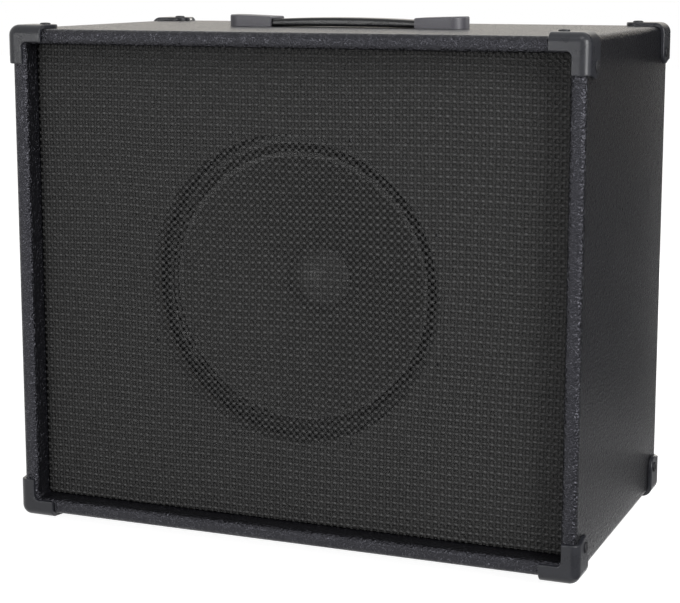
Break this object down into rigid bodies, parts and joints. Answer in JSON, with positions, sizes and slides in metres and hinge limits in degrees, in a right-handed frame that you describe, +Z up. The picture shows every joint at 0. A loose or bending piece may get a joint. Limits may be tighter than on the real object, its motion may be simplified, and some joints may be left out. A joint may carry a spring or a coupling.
{
  "type": "guitar speaker cabinet",
  "caption": "Vinyl-covered guitar loudspeaker cabinet with a recessed cloth grille, moulded corner protectors, a strap handle and a partly open back.",
  "frame": {"origin": "on the floor under the middle of the cabinet, at the treads of the rubber feet", "axes": "+X to the right seen from the front, +Y from the cloth grille to the back, +Z up"},
  "size_m": [0.5536, 0.3194, 0.4811],
  "materials": {
    "vinyl": "black vinyl covering with a leather grain",
    "plywood": "bare plywood",
    "black_plywood": "plywood painted flat black",
    "pine": "sawn pine",
    "grille_cloth": "coarse woven black cloth",
    "corner_plastic": "smooth satin black moulding",
    "black_screw": "black oxide",
    "zinc_steel": "bright zinc plate",
    "cap_plastic": "satin black moulding",
    "strap_vinyl": "smooth glossy black",
    "spring_steel": "blued strip",
    "foot_rubber": "matt black",
    "basket_steel": "semi-gloss black",
    "gasket_board": "soft fibre board",
    "cone_paper": "dark pulp paper",
    "doped_cloth": "treated cloth",
    "spider_cloth": "varnished cloth",
    "copper": "copper wire",
    "ferrite": "ground ceramic",
    "phenolic": "laminated fibre",
    "brass": "tinned brass",
    "red_lead": "flexible insulation",
    "black_lead": "flexible insulation",
    "jack_plate_paint": "textured black",
    "jack_plastic": "moulded black",
    "nickel": "nickel plate"
  },
  "bodies": {
    "cabinet": {"back_screws": "black_screw", "baffle_board": "black_plywood", "baffle_screws": "zinc_steel", "bottom_panel": "plywood", "corner_front_bottom_left": "corner_plastic", "corner_front_bottom_right": "corner_plastic", "corner_front_top_left": "corner_plastic", "corner_front_top_right": "corner_plastic", "corner_rear_bottom_left": "corner_plastic", "corner_rear_bottom_right": "corner_plastic", "corner_rear_top_left": "corner_plastic", "corner_rear_top_right": "corner_plastic", "corner_screws": "black_screw", "cup_washers": "black_screw", "ferrite_magnet": "ferrite", "foot_screws": "zinc_steel", "front_cleat_bottom": "pine", "front_cleat_left": "pine", "front_cleat_right": "pine", "front_cleat_top": "pine", "grille_cloth": "grille_cloth", "handle_end_cap_left": "cap_plastic", "handle_end_cap_right": "cap_plastic", "handle_screws": "black_screw", "jack_lugs": "brass", "jack_nut": "nickel", "jack_plate": "jack_plate_paint", "jack_socket": "jack_plastic", "left_side_panel": "plywood", "lower_back_panel": "black_plywood", "magnet_back_plate": "zinc_steel", "magnet_top_plate": "zinc_steel", "rear_cleat_bottom": "pine", "rear_cleat_left": "pine", "rear_cleat_right": "pine", "rear_cleat_top": "pine", "right_side_panel": "plywood", "rubber_foot_front_left": "foot_rubber", "rubber_foot_front_right": "foot_rubber", "rubber_foot_rear_left": "foot_rubber", "rubber_foot_rear_right": "foot_rubber", "speaker_basket": "basket_steel", "speaker_bolts": "zinc_steel", "speaker_gasket": "gasket_board", "speaker_lead_black": "black_lead", "speaker_lead_red": "red_lead", "speaker_spider": "spider_cloth", "speaker_surround": "doped_cloth", "tee_nuts": "zinc_steel", "terminal_strip": "phenolic", "terminal_tabs": "brass", "tinsel_leads": "copper", "top_panel": "plywood", "upper_back_panel": "black_plywood", "vinyl_covering": "vinyl"},
    "cone": {"speaker_cone": "cone_paper", "speaker_dust_cap": "cone_paper", "voice_coil": "copper"},
    "handle_grip": {"handle_strap": "strap_vinyl", "handle_strap_core": "spring_steel"}
  },
  "joints": [
    {"name": "cone_travel", "type": "slide", "parent": "cabinet", "child": "cone", "axis": [0, -1, 0], "range_m": [-0.004, 0.004], "stiffness_N_per_m": 3000, "deforming": ["speaker_surround", "speaker_spider", "tinsel_leads"]},
    {"name": "handle_lift", "type": "slide", "parent": "cabinet", "child": "handle_grip", "axis": [0, 0, 1], "range_m": [0, 0.018], "stiffness_N_per_m": 400, "deforming": ["handle_strap", "handle_strap_core"]}
  ]
}
